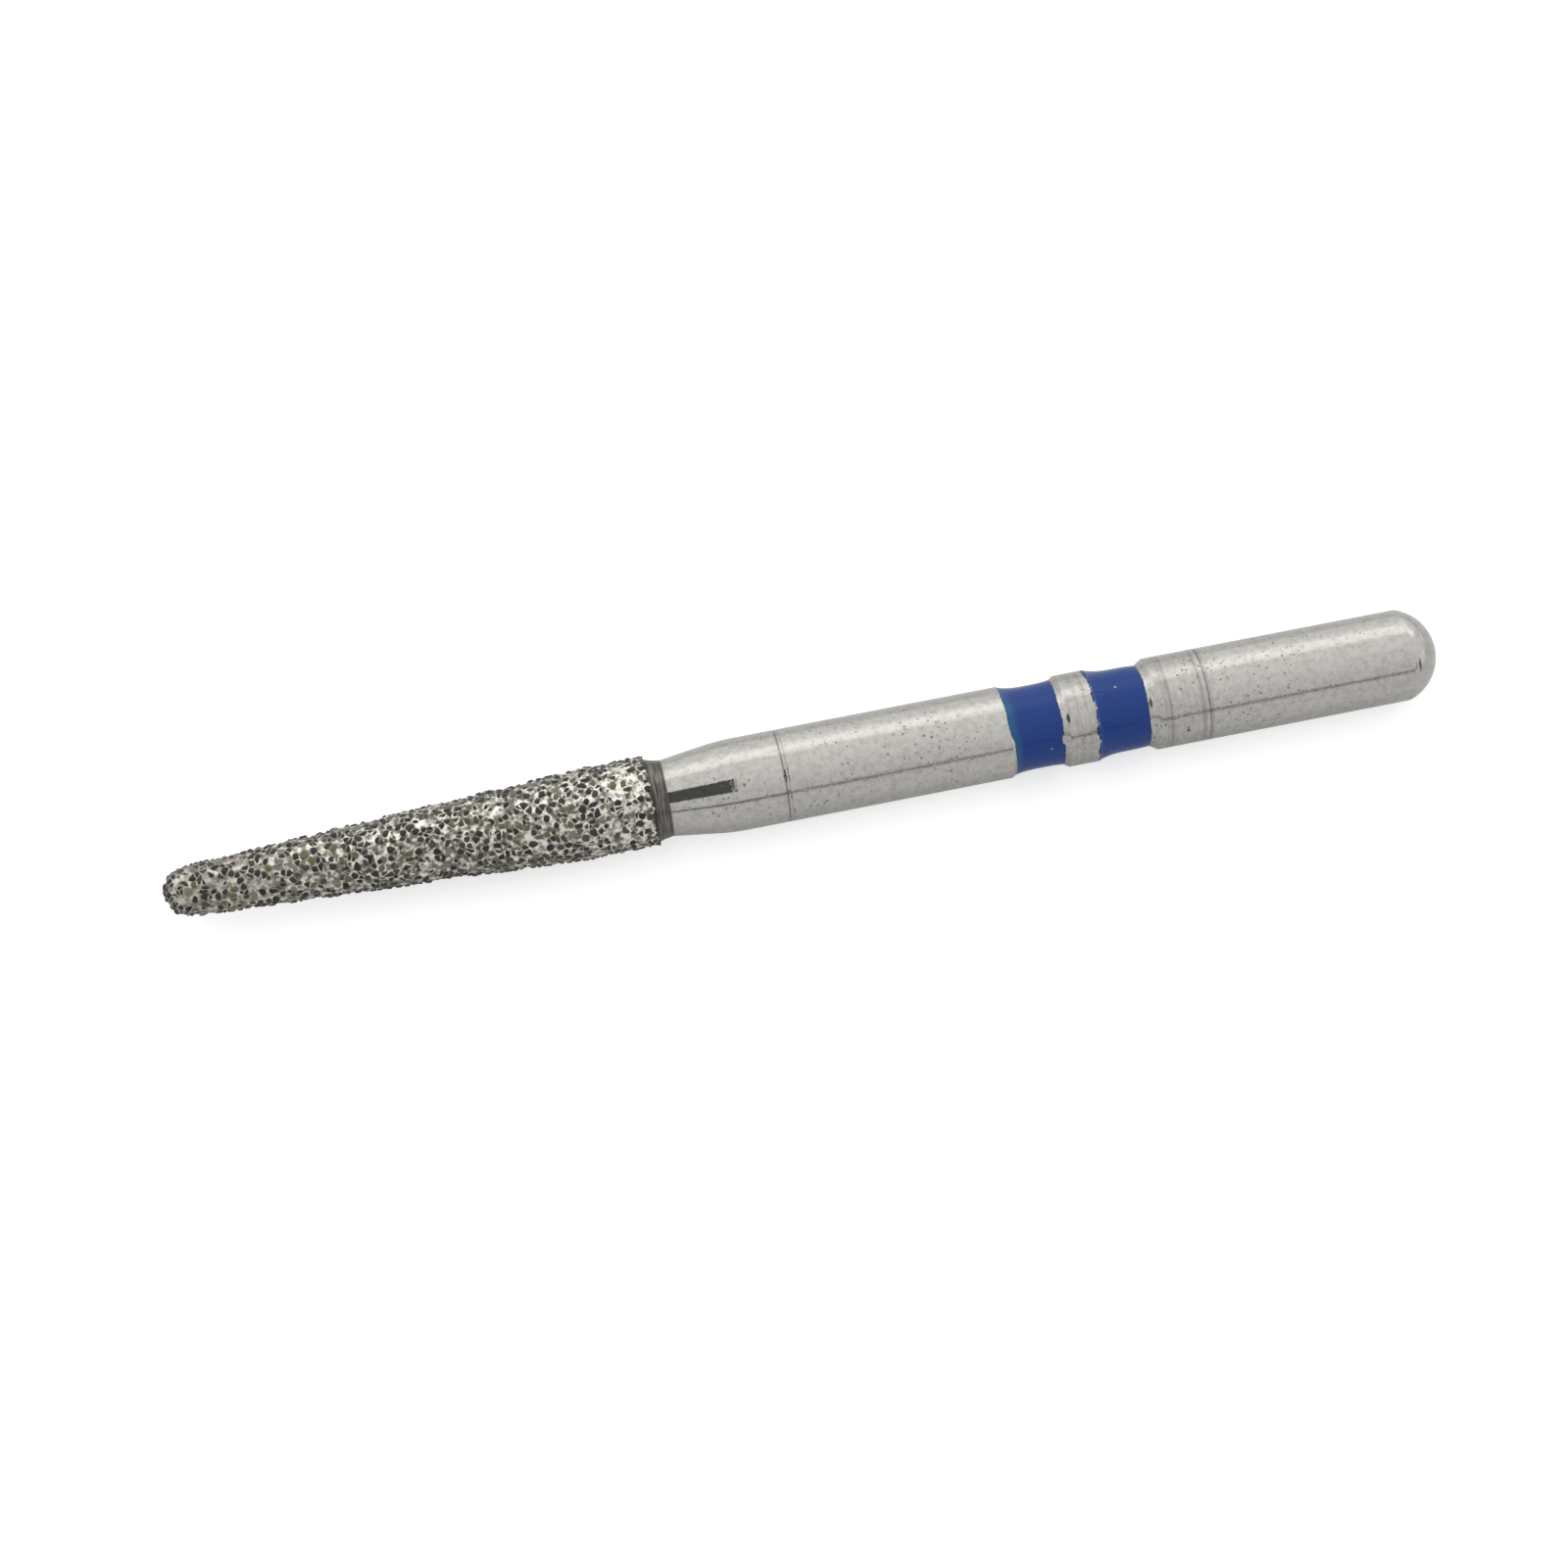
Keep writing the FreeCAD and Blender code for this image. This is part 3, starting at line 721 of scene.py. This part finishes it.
@dataclass
class SteelBlank:
    """The turned blank: shank, neck, shoulder and the core of the head."""

    length: float = 12.354
    radius: float = 0.80
    end_dome_radius: float = 0.84
    scribe_place: float = 0.714
    scribe_width: float = 0.036
    scribe_depth: float = 0.012
    second_scribe_gap: float = 0.055
    # Dark lines as place, width and darkness. The lines at -1.560 and -1.302 are painted shade where the coat
    # meets the shoulder and at the neck's root, and those at 0.714 and 0.775 paint shade into the scribe
    # notches; the rest are turning marks.
    dark_lines_and_painted_shade: tuple[tuple[float, float, float], ...] = (
        (-1.560, 0.070, 0.80), (-1.302, 0.050, 0.70), (0.714, 0.040, 0.50), (0.775, 0.030, 0.22),
        (5.870, 0.050, 0.12), (6.020, 0.040, 0.10), (7.370, 0.050, 0.16), (7.450, 0.060, 0.28),
        (8.020, 0.060, 0.26), (8.130, 0.040, 0.50), (8.175, 0.030, 0.20),
    )
    # Dark marks as place, turn in degrees, and size along and round. Those at 5.665 and 7.135 are painted
    # shade of slits at the grooves' edges, the one at 11.876 is a painted reflection of the tent's dark seam
    # on the end's rim, and the one at 7.723 is a dark dot.
    dot_and_painted_light_marks: tuple[PaintedMark, ...] = (
        (5.665, 113.0, 0.050, 0.180), (7.135, 113.8, 0.052, 0.215), (7.723, 160.0, 0.070, 0.070),
        (11.876, 132.0, 0.050, 0.260),
    )
    front_groove: tuple[float, float] = (4.642, 5.667)
    rear_groove: tuple[float, float] = (6.182, 7.247)
    groove_depth: float = 0.16
    groove_wall_run: float = 0.26
    neck_root: float = -1.290
    neck_radius: float = 0.660
    neck_blend_radius: float = 3.80
    shoulder_foot: float = -1.446
    shoulder_foot_radius: float = 0.689
    coat_end: float = -1.626
    shoulder_rim_radius: float = 0.745
    core_radius: float = 0.62
    core_tip_radius: float = 0.265
    parallel_end: float = -2.646
    tip_centre: float = -9.511
    worked_end: float = 8.124
    edge_break: float = 0.012
    around: int = 256
    finish: SatinShankSteel = field(default_factory=SatinShankSteel)

    def _neck(self) -> list[tuple[float, float, float]]:
        """Points of the round by which the neck leaves the shank, from the neck's root."""
        centre = self.radius - self.neck_blend_radius
        rise = self.neck_radius - centre
        reach = math.hypot(self.neck_root, rise)
        turn = math.atan2(-self.neck_root, rise) - math.acos(self.neck_blend_radius / reach)
        steps = 10
        return [
            (-self.neck_blend_radius * math.sin(turn * step / steps),
             centre + self.neck_blend_radius * math.cos(turn * step / steps), 0.0)
            for step in range(steps, -1, -1)
        ]

    def _core_tip(self) -> Outline:
        """Points of the core's round tip, from its apex to where the taper leaves it."""
        reach = self.parallel_end - self.tip_centre
        slope = math.atan2(self.core_radius, reach) - math.asin(
            self.core_tip_radius / math.hypot(reach, self.core_radius))
        steps = 10
        turns = [math.pi - (math.pi / 2 - slope) * step / steps for step in range(1, steps + 1)]
        return [(self.tip_centre + self.core_tip_radius * math.cos(turn),
                 self.core_tip_radius * math.sin(turn)) for turn in turns]

    def _dome(self) -> list[tuple[float, float, float]]:
        """Points of the shank's domed end, from its rim to the axis."""
        steps = 22
        widest = math.asin(self.radius / self.end_dome_radius)
        centre = self.length - self.end_dome_radius
        turns = [widest * (1 - step / (steps + 1)) for step in range(steps + 1)]
        return [(centre + self.end_dome_radius * math.cos(turn),
                 self.end_dome_radius * math.sin(turn), 0.0) for turn in turns]

    def outline(self) -> Outline:
        """Draws the half section from the core's apex to the domed end.

        Returns:
            Points as place and radius.
        """
        notch = self.scribe_width / 2
        floor = self.radius - self.groove_depth
        corners = [(x, r, 0.0) for x, r in self._core_tip()]
        corners += [
            (self.parallel_end, self.core_radius, 0.0),
            (self.coat_end, self.core_radius, 0.0),
            (self.coat_end, self.shoulder_rim_radius, self.edge_break),
            (self.shoulder_foot, self.shoulder_foot_radius, 0.03),
            (self.neck_root, self.neck_radius, 0.03),
        ]
        corners += self._neck()
        for place, depth in ((self.scribe_place, self.scribe_depth / 2),
                             (self.scribe_place + self.second_scribe_gap, self.scribe_depth / 4)):
            corners += [(place - notch, self.radius, 0.0), (place, self.radius - depth, 0.0),
                        (place + notch, self.radius, 0.0)]
        for front, rear in (self.front_groove, self.rear_groove):
            corners += [
                (front, self.radius, self.edge_break),
                (front + self.groove_wall_run, floor, self.edge_break),
                (rear - self.groove_wall_run, floor, self.edge_break),
                (rear, self.radius, self.edge_break),
            ]
        corners += self._dome()
        return support_runs(round_corners(corners), longest=0.35, near=0.012)

    def radius_at(self, place: np.ndarray) -> np.ndarray:
        """Radius of the blank's surface at places along the shank."""
        outline = np.array([point for point in self.outline() if point[0] > self.neck_root])
        return np.interp(place, outline[:, 0], outline[:, 1])

    def build(self, offset: float) -> bpy.types.Object:
        """Builds and dresses the blank.

        Args:
            offset: What is added to a place to give the frame's X.

        Returns:
            The piece.
        """
        piece = skin_rings("turned_steel_blank", lathe(self.outline(), self.around, offset), poles=True)
        piece.data.materials.append(self.finish.material(self, offset))
        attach(piece, BODY)
        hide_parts("steel_blank")
        return piece


@dataclass
class DiamondCoat:
    """The cap of bonded grit over the head."""

    rear: float = -1.585
    bond_radius: float = 0.755
    bond_tip_radius: float = 0.405
    parallel: float = 1.02
    tip_centre: float = -9.511
    thickness: float = 0.14
    step: float = 0.0235
    around: int = 224
    ragged_rim: float = 0.026
    standing_grain: tuple[float, float] = (-6.001, 155.0)
    standing_rise: float = 0.026
    standing_spread: float = 0.13
    finish: NickelBondedDiamond = field(default_factory=NickelBondedDiamond)

    @property
    def apex(self) -> float:
        """Place of the bond's foremost point."""
        return self.tip_centre - self.bond_tip_radius

    def _path(self, shrink: float, step: float) -> Outline:
        """Draws the coat's outline from its rear edge towards the apex.

        Args:
            shrink: How far under the bond's surface the outline runs.
            step: Distance between its points.

        Returns:
            Points as place and radius.
        """
        radius = self.bond_radius - shrink
        tip = self.bond_tip_radius - shrink
        reach = self.rear - self.parallel - self.tip_centre
        slope = math.atan2(radius, reach) - math.asin(tip / math.hypot(reach, radius))
        taper = math.sqrt(reach ** 2 + radius ** 2 - tip ** 2)
        length = self.parallel + taper + tip * (math.pi / 2 - slope)
        count = round(length / step)
        points: Outline = []
        for number in range(count):
            distance = length * number / count
            if distance <= self.parallel:
                points.append((self.rear - distance, radius))
            elif distance <= self.parallel + taper:
                along = distance - self.parallel
                points.append((self.rear - self.parallel - along * math.cos(slope),
                               radius - along * math.sin(slope)))
            else:
                turn = math.pi / 2 + slope + (distance - self.parallel - taper) / tip
                points.append((self.tip_centre + tip * math.cos(turn), tip * math.sin(turn)))
        return points

    def _raise_grains(self, piece: bpy.types.Object, offset: float) -> None:
        """Raises the grains out of the bond and keeps each point's first place as "rest".

        Args:
            piece: The smooth coat.
            offset: What is added to a place to give the frame's X.
        """
        finish = self.finish
        tree = bpy.data.node_groups.new("standing_grains", "GeometryNodeTree")
        tree.interface.new_socket(name="Geometry", in_out="INPUT", socket_type="NodeSocketGeometry")
        tree.interface.new_socket(name="Geometry", in_out="OUTPUT", socket_type="NodeSocketGeometry")
        place = add_node(tree, "GeometryNodeInputPosition").outputs[0]
        incoming = add_node(tree, "NodeGroupInput")
        stored = add_node(tree, "GeometryNodeStoreNamedAttribute", {"Geometry": incoming, "Name": "rest"},
                          data_type="FLOAT_VECTOR", domain="POINT")
        tree.links.new(place, stored.inputs["Value"])
        mm = millimetres(tree, place)
        grains = finish.grains(tree, mm)
        chance = add_node(tree, "SeparateXYZ", {0: grains["pick"]}).outputs
        dome = add_node(tree, "MapRange", {
            "Value": grains["inside"], "From Min": 0.02, "From Max": 0.24,
        }, **SMOOTH)
        tall = add_node(tree, "MapRange", {
            "Value": chance[0], "To Min": 0.35 * finish.grain_rise, "To Max": finish.grain_rise,
        })
        grain = add_node(tree, "Math", {0: dome, 1: tall}, operation="MULTIPLY")
        lean = add_node(tree, "VectorMath", {0: grains["pick"], 1: (0.5, 0.5, 0.5)}, operation="SUBTRACT")
        facet = add_node(tree, "VectorMath", {0: grains["outward"], 1: lean},
                         operation="DOT_PRODUCT").outputs["Value"]
        facet_rise = add_node(tree, "Math", {0: facet, 1: finish.facet_tilt / finish.grain_pitch * 2},
                              operation="MULTIPLY")
        faceted = add_node(tree, "Math", {0: facet_rise, 1: dome, 2: grain}, operation="MULTIPLY_ADD")
        lump = add_node(tree, "MapRange", {
            "Value": grains["lump"], "From Min": 0.3, "From Max": 0.7,
            "To Min": -finish.lump_rise, "To Max": finish.lump_rise,
        })
        angle = math.radians(self.standing_grain[1])
        outer = float(np.interp(-self.standing_grain[0], [-x for x, _ in self._path(0.0, self.step)],
                                [r for _, r in self._path(0.0, self.step)]))
        spot = (self.standing_grain[0] + offset, -outer * math.cos(angle), outer * math.sin(angle))
        away = add_node(tree, "VectorMath", {0: mm, 1: spot}, operation="DISTANCE").outputs["Value"]
        cluster = add_node(tree, "MapRange", {
            "Value": away, "From Min": self.standing_spread, "From Max": 0.0,
            "To Min": 0.0, "To Max": self.standing_rise,
        }, **SMOOTH)
        uneven = add_node(tree, "Math", {0: faceted, 1: lump})
        capped = add_node(tree, "Math", {0: uneven, 1: finish.most_rise}, operation="MINIMUM")
        height = add_node(tree, "Math", {0: capped, 1: cluster})
        share = add_node(tree, "GeometryNodeInputNamedAttribute", {"Name": "outer"}, data_type="FLOAT")
        shown = add_node(tree, "Math", {0: height, 1: share}, operation="MULTIPLY")
        metres = add_node(tree, "Math", {0: shown, 1: MM}, operation="MULTIPLY")
        normal = add_node(tree, "GeometryNodeInputNormal")
        move = add_node(tree, "VectorMath", {0: normal, "Scale": metres}, operation="SCALE").outputs["Vector"]
        moved = add_node(tree, "GeometryNodeSetPosition", {"Geometry": stored, "Offset": move})
        add_node(tree, "NodeGroupOutput", {0: moved})
        modifier = piece.modifiers.new("standing_grains", "NODES")
        modifier.node_group = tree
        bpy.context.view_layer.update()
        raised = piece.evaluated_get(bpy.context.evaluated_depsgraph_get())
        mesh = bpy.data.meshes.new_from_object(raised)
        piece.modifiers.clear()
        piece.data = mesh

    def build(self, offset: float) -> bpy.types.Object:
        """Builds and dresses the coat.

        Args:
            offset: What is added to a place to give the frame's X.

        Returns:
            The piece.
        """
        outside = self._path(0.0, self.step)
        inside = self._path(self.thickness, 0.20)
        rings = lathe(outside[::-1] + inside, self.around, offset)
        turn = np.arange(self.around) * 2 * math.pi / self.around
        ragged = self.ragged_rim * wave(turn, 5, (7, 13, 22, 31, 47))
        rim = len(outside) - 1
        for back in range(4):
            rings[rim - back, :, 0] += ragged * (1 - back / 4)
        piece = skin_rings("diamond_grit_coat", rings, poles=True)
        outer = np.zeros(len(piece.data.vertices), np.float32)
        outer[:len(outside) * self.around] = 1.0
        outer[len(rings) * self.around] = 1.0
        piece.data.attributes.new("outer", "FLOAT", "POINT").data.foreach_set("value", outer)
        self._raise_grains(piece, offset)
        piece.data.materials.clear()
        piece.data.materials.append(self.finish.material(self, offset))
        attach(piece, BODY)
        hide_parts("diamond_coat")
        return piece


@dataclass
class EnamelBand:
    """One ring of enamel in its groove."""

    name: str
    node: str
    groove: tuple[float, float]
    front_rim: Rim
    rear_rim: Rim
    front_start: float
    rear_start: float
    seed: int
    chips: tuple[tuple[float, float, float], ...] = ()
    thin_reach: float = 0.0
    thin_turn: float = 80.0
    lap_turn: float = 125.0
    lap_reach: float = 0.038
    sink: float = 0.077
    hollow_power: float = 2.6
    film: float = 0.004
    around: int = 360
    across: int = 44
    finish: StovedBlueEnamel = field(default_factory=StovedBlueEnamel)

    def _stray(self, rim: Rim, turn: np.ndarray, seed: int) -> np.ndarray:
        """How far the ring's edge strays along the axis at each angle.

        Args:
            rim: How that edge ends.
            turn: Angles round the axis.
            seed: Chooses the wave.

        Returns:
            Distances in millimetres.
        """
        slow = wave(turn, seed, (2, 3, 5, 9))
        fast = wave(turn, seed + 1, (19, 31, 47, 61))
        match rim:
            case Rim.WAVY:
                lap = np.tanh(8 * np.sin(turn - math.radians(self.lap_turn)))
                return self.lap_reach * lap + 0.007 * slow + 0.003 * fast
            case Rim.RAGGED:
                return 0.020 * np.sign(slow) * np.abs(slow) ** 0.5 + 0.020 * np.abs(fast)
            case Rim.CLEAN:
                return 0.005 * slow + 0.004 * fast

    def build(self, blank: SteelBlank, offset: float) -> bpy.types.Object:
        """Builds and dresses the ring.

        Args:
            blank: The blank, whose groove carries the ring.
            offset: What is added to a place to give the frame's X.

        Returns:
            The piece.
        """
        turn = np.arange(self.around) * 2 * math.pi / self.around
        front = self.groove[0] + self.front_start + self._stray(self.front_rim, turn, self.seed)
        rear = self.groove[1] - self.rear_start + self._stray(self.rear_rim, turn, self.seed + 10)
        for middle, width, depth in self.chips:
            apart = (np.degrees(turn) - middle + 180) % 360 - 180
            front += max(depth, 0) * (np.abs(apart) < width / 2)
            rear += min(depth, 0) * (np.abs(apart) < width / 2)
        share = (1 - np.cos(np.linspace(0, math.pi, self.across))) / 2
        place = front + share[:, None] * (rear - front)
        middle = sum(self.groove) / 2
        level = blank.radius - self.sink
        ahead = np.clip((middle - place) / (middle - front), 0, 1) ** self.hollow_power
        behind = np.clip((place - middle) / (rear - middle), 0, 1) ** self.hollow_power
        surface = level + (blank.radius_at(front) - level) * ahead + (blank.radius_at(rear) - level) * behind
        under = blank.radius_at(place)
        surface = np.maximum(surface, under + self.film * np.minimum(1, 8 * share * (1 - share))[:, None])
        inset = np.minimum(place - front, rear - place)

        both = np.concatenate((place, place[::-1]))
        radii = np.concatenate((surface, under[::-1] - 0.0005))
        rings = np.stack((both + offset, radii * np.cos(turn), radii * np.sin(turn)), axis=2)
        piece = skin_rings(self.name, rings, poles=False)
        reach = self.thin_reach * (0.5 + 0.5 * np.cos(turn - math.radians(self.thin_turn)))
        shallow = np.exp(-((place - front) / np.maximum(reach, 1e-4)) ** 4)
        for title, field_values in (("inset", inset), ("shallow", shallow)):
            both_sides = np.concatenate((field_values, field_values[::-1])).astype(np.float32).ravel()
            piece.data.attributes.new(title, "FLOAT", "POINT").data.foreach_set("value", both_sides)
        piece.data.materials.append(self.finish.material())
        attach(piece, BODY)
        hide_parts(self.node)
        return piece


@dataclass
class Studio:
    """A pale floor in a light tent, and the camera."""

    rest_height: float = -0.80
    floor_reach: float = 600.0
    floor_colour: str = "#D2D2D2"
    floor_glow: float = 0.58
    floor_glow_mirrored: float = 0.08
    tent_radius: float = 90.0
    tent_reach: float = 150.0
    tent_top_level: float = 1.8
    card_distance: float = 60.0
    card_level: float = 0.12
    aim_place: float = 0.774
    aim_drop: float = 0.151
    azimuth: float = -12.14
    elevation: float = 65.0
    distance: float = 62.6
    lens: float = 83.8

    # Angle from the front horizon over the top to the back, with the tent's level there. The back
    # carries the large soft lamp, and a seam in the cloth makes the thin dark line at 20 degrees.
    tent_levels: tuple[tuple[float, float], ...] = (
        (0, 0.78), (8, 0.76), (16, 0.74), (17.5, 0.30), (22, 0.30), (23.5, 0.76), (34, 0.80),
        (45, 0.83), (60, 0.91), (75, 0.98), (90, 1.05), (105, 1.09), (118, 1.09), (123, 1.47),
        (137, 1.60), (145, 1.47), (153, 1.22), (165, 1.05), (180, 1.00),
    )

    def _towards_camera(self) -> Vector:
        """Direction from the bur to the camera."""
        flat = math.cos(math.radians(self.elevation))
        turn = math.radians(self.azimuth)
        return Vector((flat * math.sin(turn), -flat * math.cos(turn), math.sin(math.radians(self.elevation))))

    def _stand(self, name: str, corners: list[Any], faces: list[tuple[int, ...]],
               finish: bpy.types.Material) -> bpy.types.Object:
        """Adds a sheet of the studio.

        Args:
            name: The sheet's name.
            corners: Its points in metres.
            faces: The numbers of each face's points.
            finish: Its material.

        Returns:
            The sheet.
        """
        mesh = bpy.data.meshes.new(name)
        mesh.from_pydata(corners, [], faces)
        mesh.materials.append(finish)
        sheet = bpy.data.objects.new(name, mesh)
        bpy.context.scene.collection.objects.link(sheet)
        return sheet

    def lay_floor(self) -> None:
        """Lays the pale floor on which the shank rests."""
        reach, height = self.floor_reach * MM, self.rest_height * MM
        corners = [(-reach, -reach, height), (reach, -reach, height), (reach, reach, height),
                   (-reach, reach, height)]
        made, tree = new_material("matt_white_card")
        path = add_node(tree, "LightPath").outputs
        mirrored = add_node(tree, "Math", {
            0: path["Is Glossy Ray"], 1: self.floor_glow_mirrored,
        }, operation="MULTIPLY")
        glow = add_node(tree, "Math", {
            0: path["Is Camera Ray"], 1: self.floor_glow, 2: mirrored,
        }, operation="MULTIPLY_ADD")
        matt = add_node(tree, "BsdfDiffuse", {"Color": linear(self.floor_colour)})
        light = add_node(tree, "Emission", {"Strength": glow})
        both = add_node(tree, "AddShader", {0: matt, 1: light})
        add_node(tree, "OutputMaterial", {"Surface": both})
        self._stand("floor", corners, [(0, 1, 2, 3)], made)

    def pitch_tent(self) -> None:
        """Pitches the half-round light tent along the bur."""
        steps = 90
        points: list[tuple[float, float, float]] = []
        for step in range(steps + 1):
            angle = math.pi * step / steps
            y, z = -self.tent_radius * math.cos(angle), self.tent_radius * math.sin(angle)
            points += [(-self.tent_reach * MM, y * MM, (z + self.rest_height) * MM),
                       (self.tent_reach * MM, y * MM, (z + self.rest_height) * MM)]
        faces = [(2 * step, 2 * step + 1, 2 * step + 3, 2 * step + 2) for step in range(steps)]
        made, tree = new_material("lit_tent_cloth")
        place = add_node(tree, "TexCoord").outputs["Object"]
        split = add_node(tree, "SeparateXYZ", {0: place}).outputs
        forward = add_node(tree, "Math", {0: split["Y"], 1: -1.0}, operation="MULTIPLY")
        angle = add_node(tree, "Math", {0: split["Z"], 1: forward}, operation="ARCTAN2")
        share = add_node(tree, "Math", {0: angle, 1: math.pi}, operation="DIVIDE")
        levels = add_node(tree, "ValToRGB", {"Fac": share})
        fill_ramp(levels.color_ramp, [
            (degrees / 180, level / self.tent_top_level) for degrees, level in self.tent_levels])
        light = add_node(tree, "Emission", {
            "Color": levels.outputs["Color"], "Strength": self.tent_top_level,
        })
        add_node(tree, "OutputMaterial", {"Surface": light})
        self._stand("light_tent", points, faces, made).visible_camera = False

    def hang_card(self, aim: Vector) -> None:
        """Hangs the dark card round the lens, which shows as a dark patch in the polished neck.

        Args:
            aim: The point on the axis that the camera looks at.
        """
        towards = self._towards_camera()
        around = math.atan2(towards.z, -towards.y)
        corners: list[Vector] = []
        for axial, round_axis in ((-24, -17.5), (-0.8, -17.5), (-0.8, 14.5), (-24, 14.5)):
            turn = around + math.radians(round_axis)
            flat = math.cos(math.radians(axial))
            corners.append(aim + self.card_distance * MM * Vector((
                math.sin(math.radians(axial)), -flat * math.cos(turn), flat * math.sin(turn))))
        made, tree = new_material("matt_dark_card")
        light = add_node(tree, "Emission", {"Strength": self.card_level})
        add_node(tree, "OutputMaterial", {"Surface": light})
        card = self._stand("lens_card", corners, [(0, 1, 2, 3)], made)
        card.visible_camera = False
        card.visible_diffuse = False
        card.visible_shadow = False
        card.visible_transmission = False

    def light_world(self) -> None:
        """Closes the ends of the tent with plain white."""
        world = bpy.data.worlds.new("white_surround")
        world.use_nodes = True
        world.node_tree.nodes.clear()
        back = add_node(world.node_tree, "Background", {"Color": (1.0, 1.0, 1.0, 1.0), "Strength": 1.0})
        add_node(world.node_tree, "OutputWorld", {"Surface": back})
        bpy.context.scene.world = world

    def place_camera(self, aim: Vector) -> None:
        """Places the camera at the photograph's viewing angle.

        Args:
            aim: The point on the axis that the camera looks at.
        """
        towards = self._towards_camera()
        right = Vector((0, 0, 1)).cross(towards).normalized()
        up = towards.cross(right).normalized()
        data = bpy.data.cameras.new("camera")
        data.lens = self.lens
        data.sensor_width = 36.0
        data.clip_start = 1 * MM
        data.clip_end = 5.0
        camera = bpy.data.objects.new("camera", data)
        bpy.context.scene.collection.objects.link(camera)
        stand = aim + towards * self.distance * MM - up * self.aim_drop * MM
        turned = Matrix((right, up, towards)).transposed()
        camera.matrix_world = Matrix.Translation(stand) @ turned.to_4x4()
        bpy.context.scene.camera = camera

    def build(self, offset: float) -> None:
        """Builds the studio round the bur.

        Args:
            offset: What is added to a place to give the frame's X.
        """
        aim = Vector(((self.aim_place + offset) * MM, 0.0, 0.0))
        self.lay_floor()
        self.pitch_tent()
        self.hang_card(aim)
        self.light_world()
        self.place_camera(aim)
        bpy.context.scene.view_settings.view_transform = "Standard"


def main() -> None:
    """Builds the bur piece by piece, then the studio."""
    logging.basicConfig(level=logging.INFO, format="%(name)s: %(message)s")
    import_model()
    blank = SteelBlank()
    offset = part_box("steel_blank")[1].x * PER_METRE - blank.length
    pieces = [
        blank.build(offset),
        DiamondCoat().build(offset),
        EnamelBand("front_enamel_ring", "front_blue_band", blank.front_groove, Rim.WAVY, Rim.CLEAN,
                   0.024, 0.100, seed=21, chips=((141.0, 14.0, -0.035),), thin_reach=0.160,
                   ).build(blank, offset),
        EnamelBand("rear_enamel_ring", "rear_blue_band", blank.rear_groove, Rim.RAGGED, Rim.CLEAN,
                   -0.052, 0.155, seed=54, chips=((118.0, 26.0, 0.030), (104.0, 7.0, 0.016)),
                   ).build(blank, offset),
    ]
    for piece in pieces:
        log.info("%s: %d faces", piece.name, len(piece.data.polygons))
    Studio().build(offset)


if __name__ == "__main__":
    main()
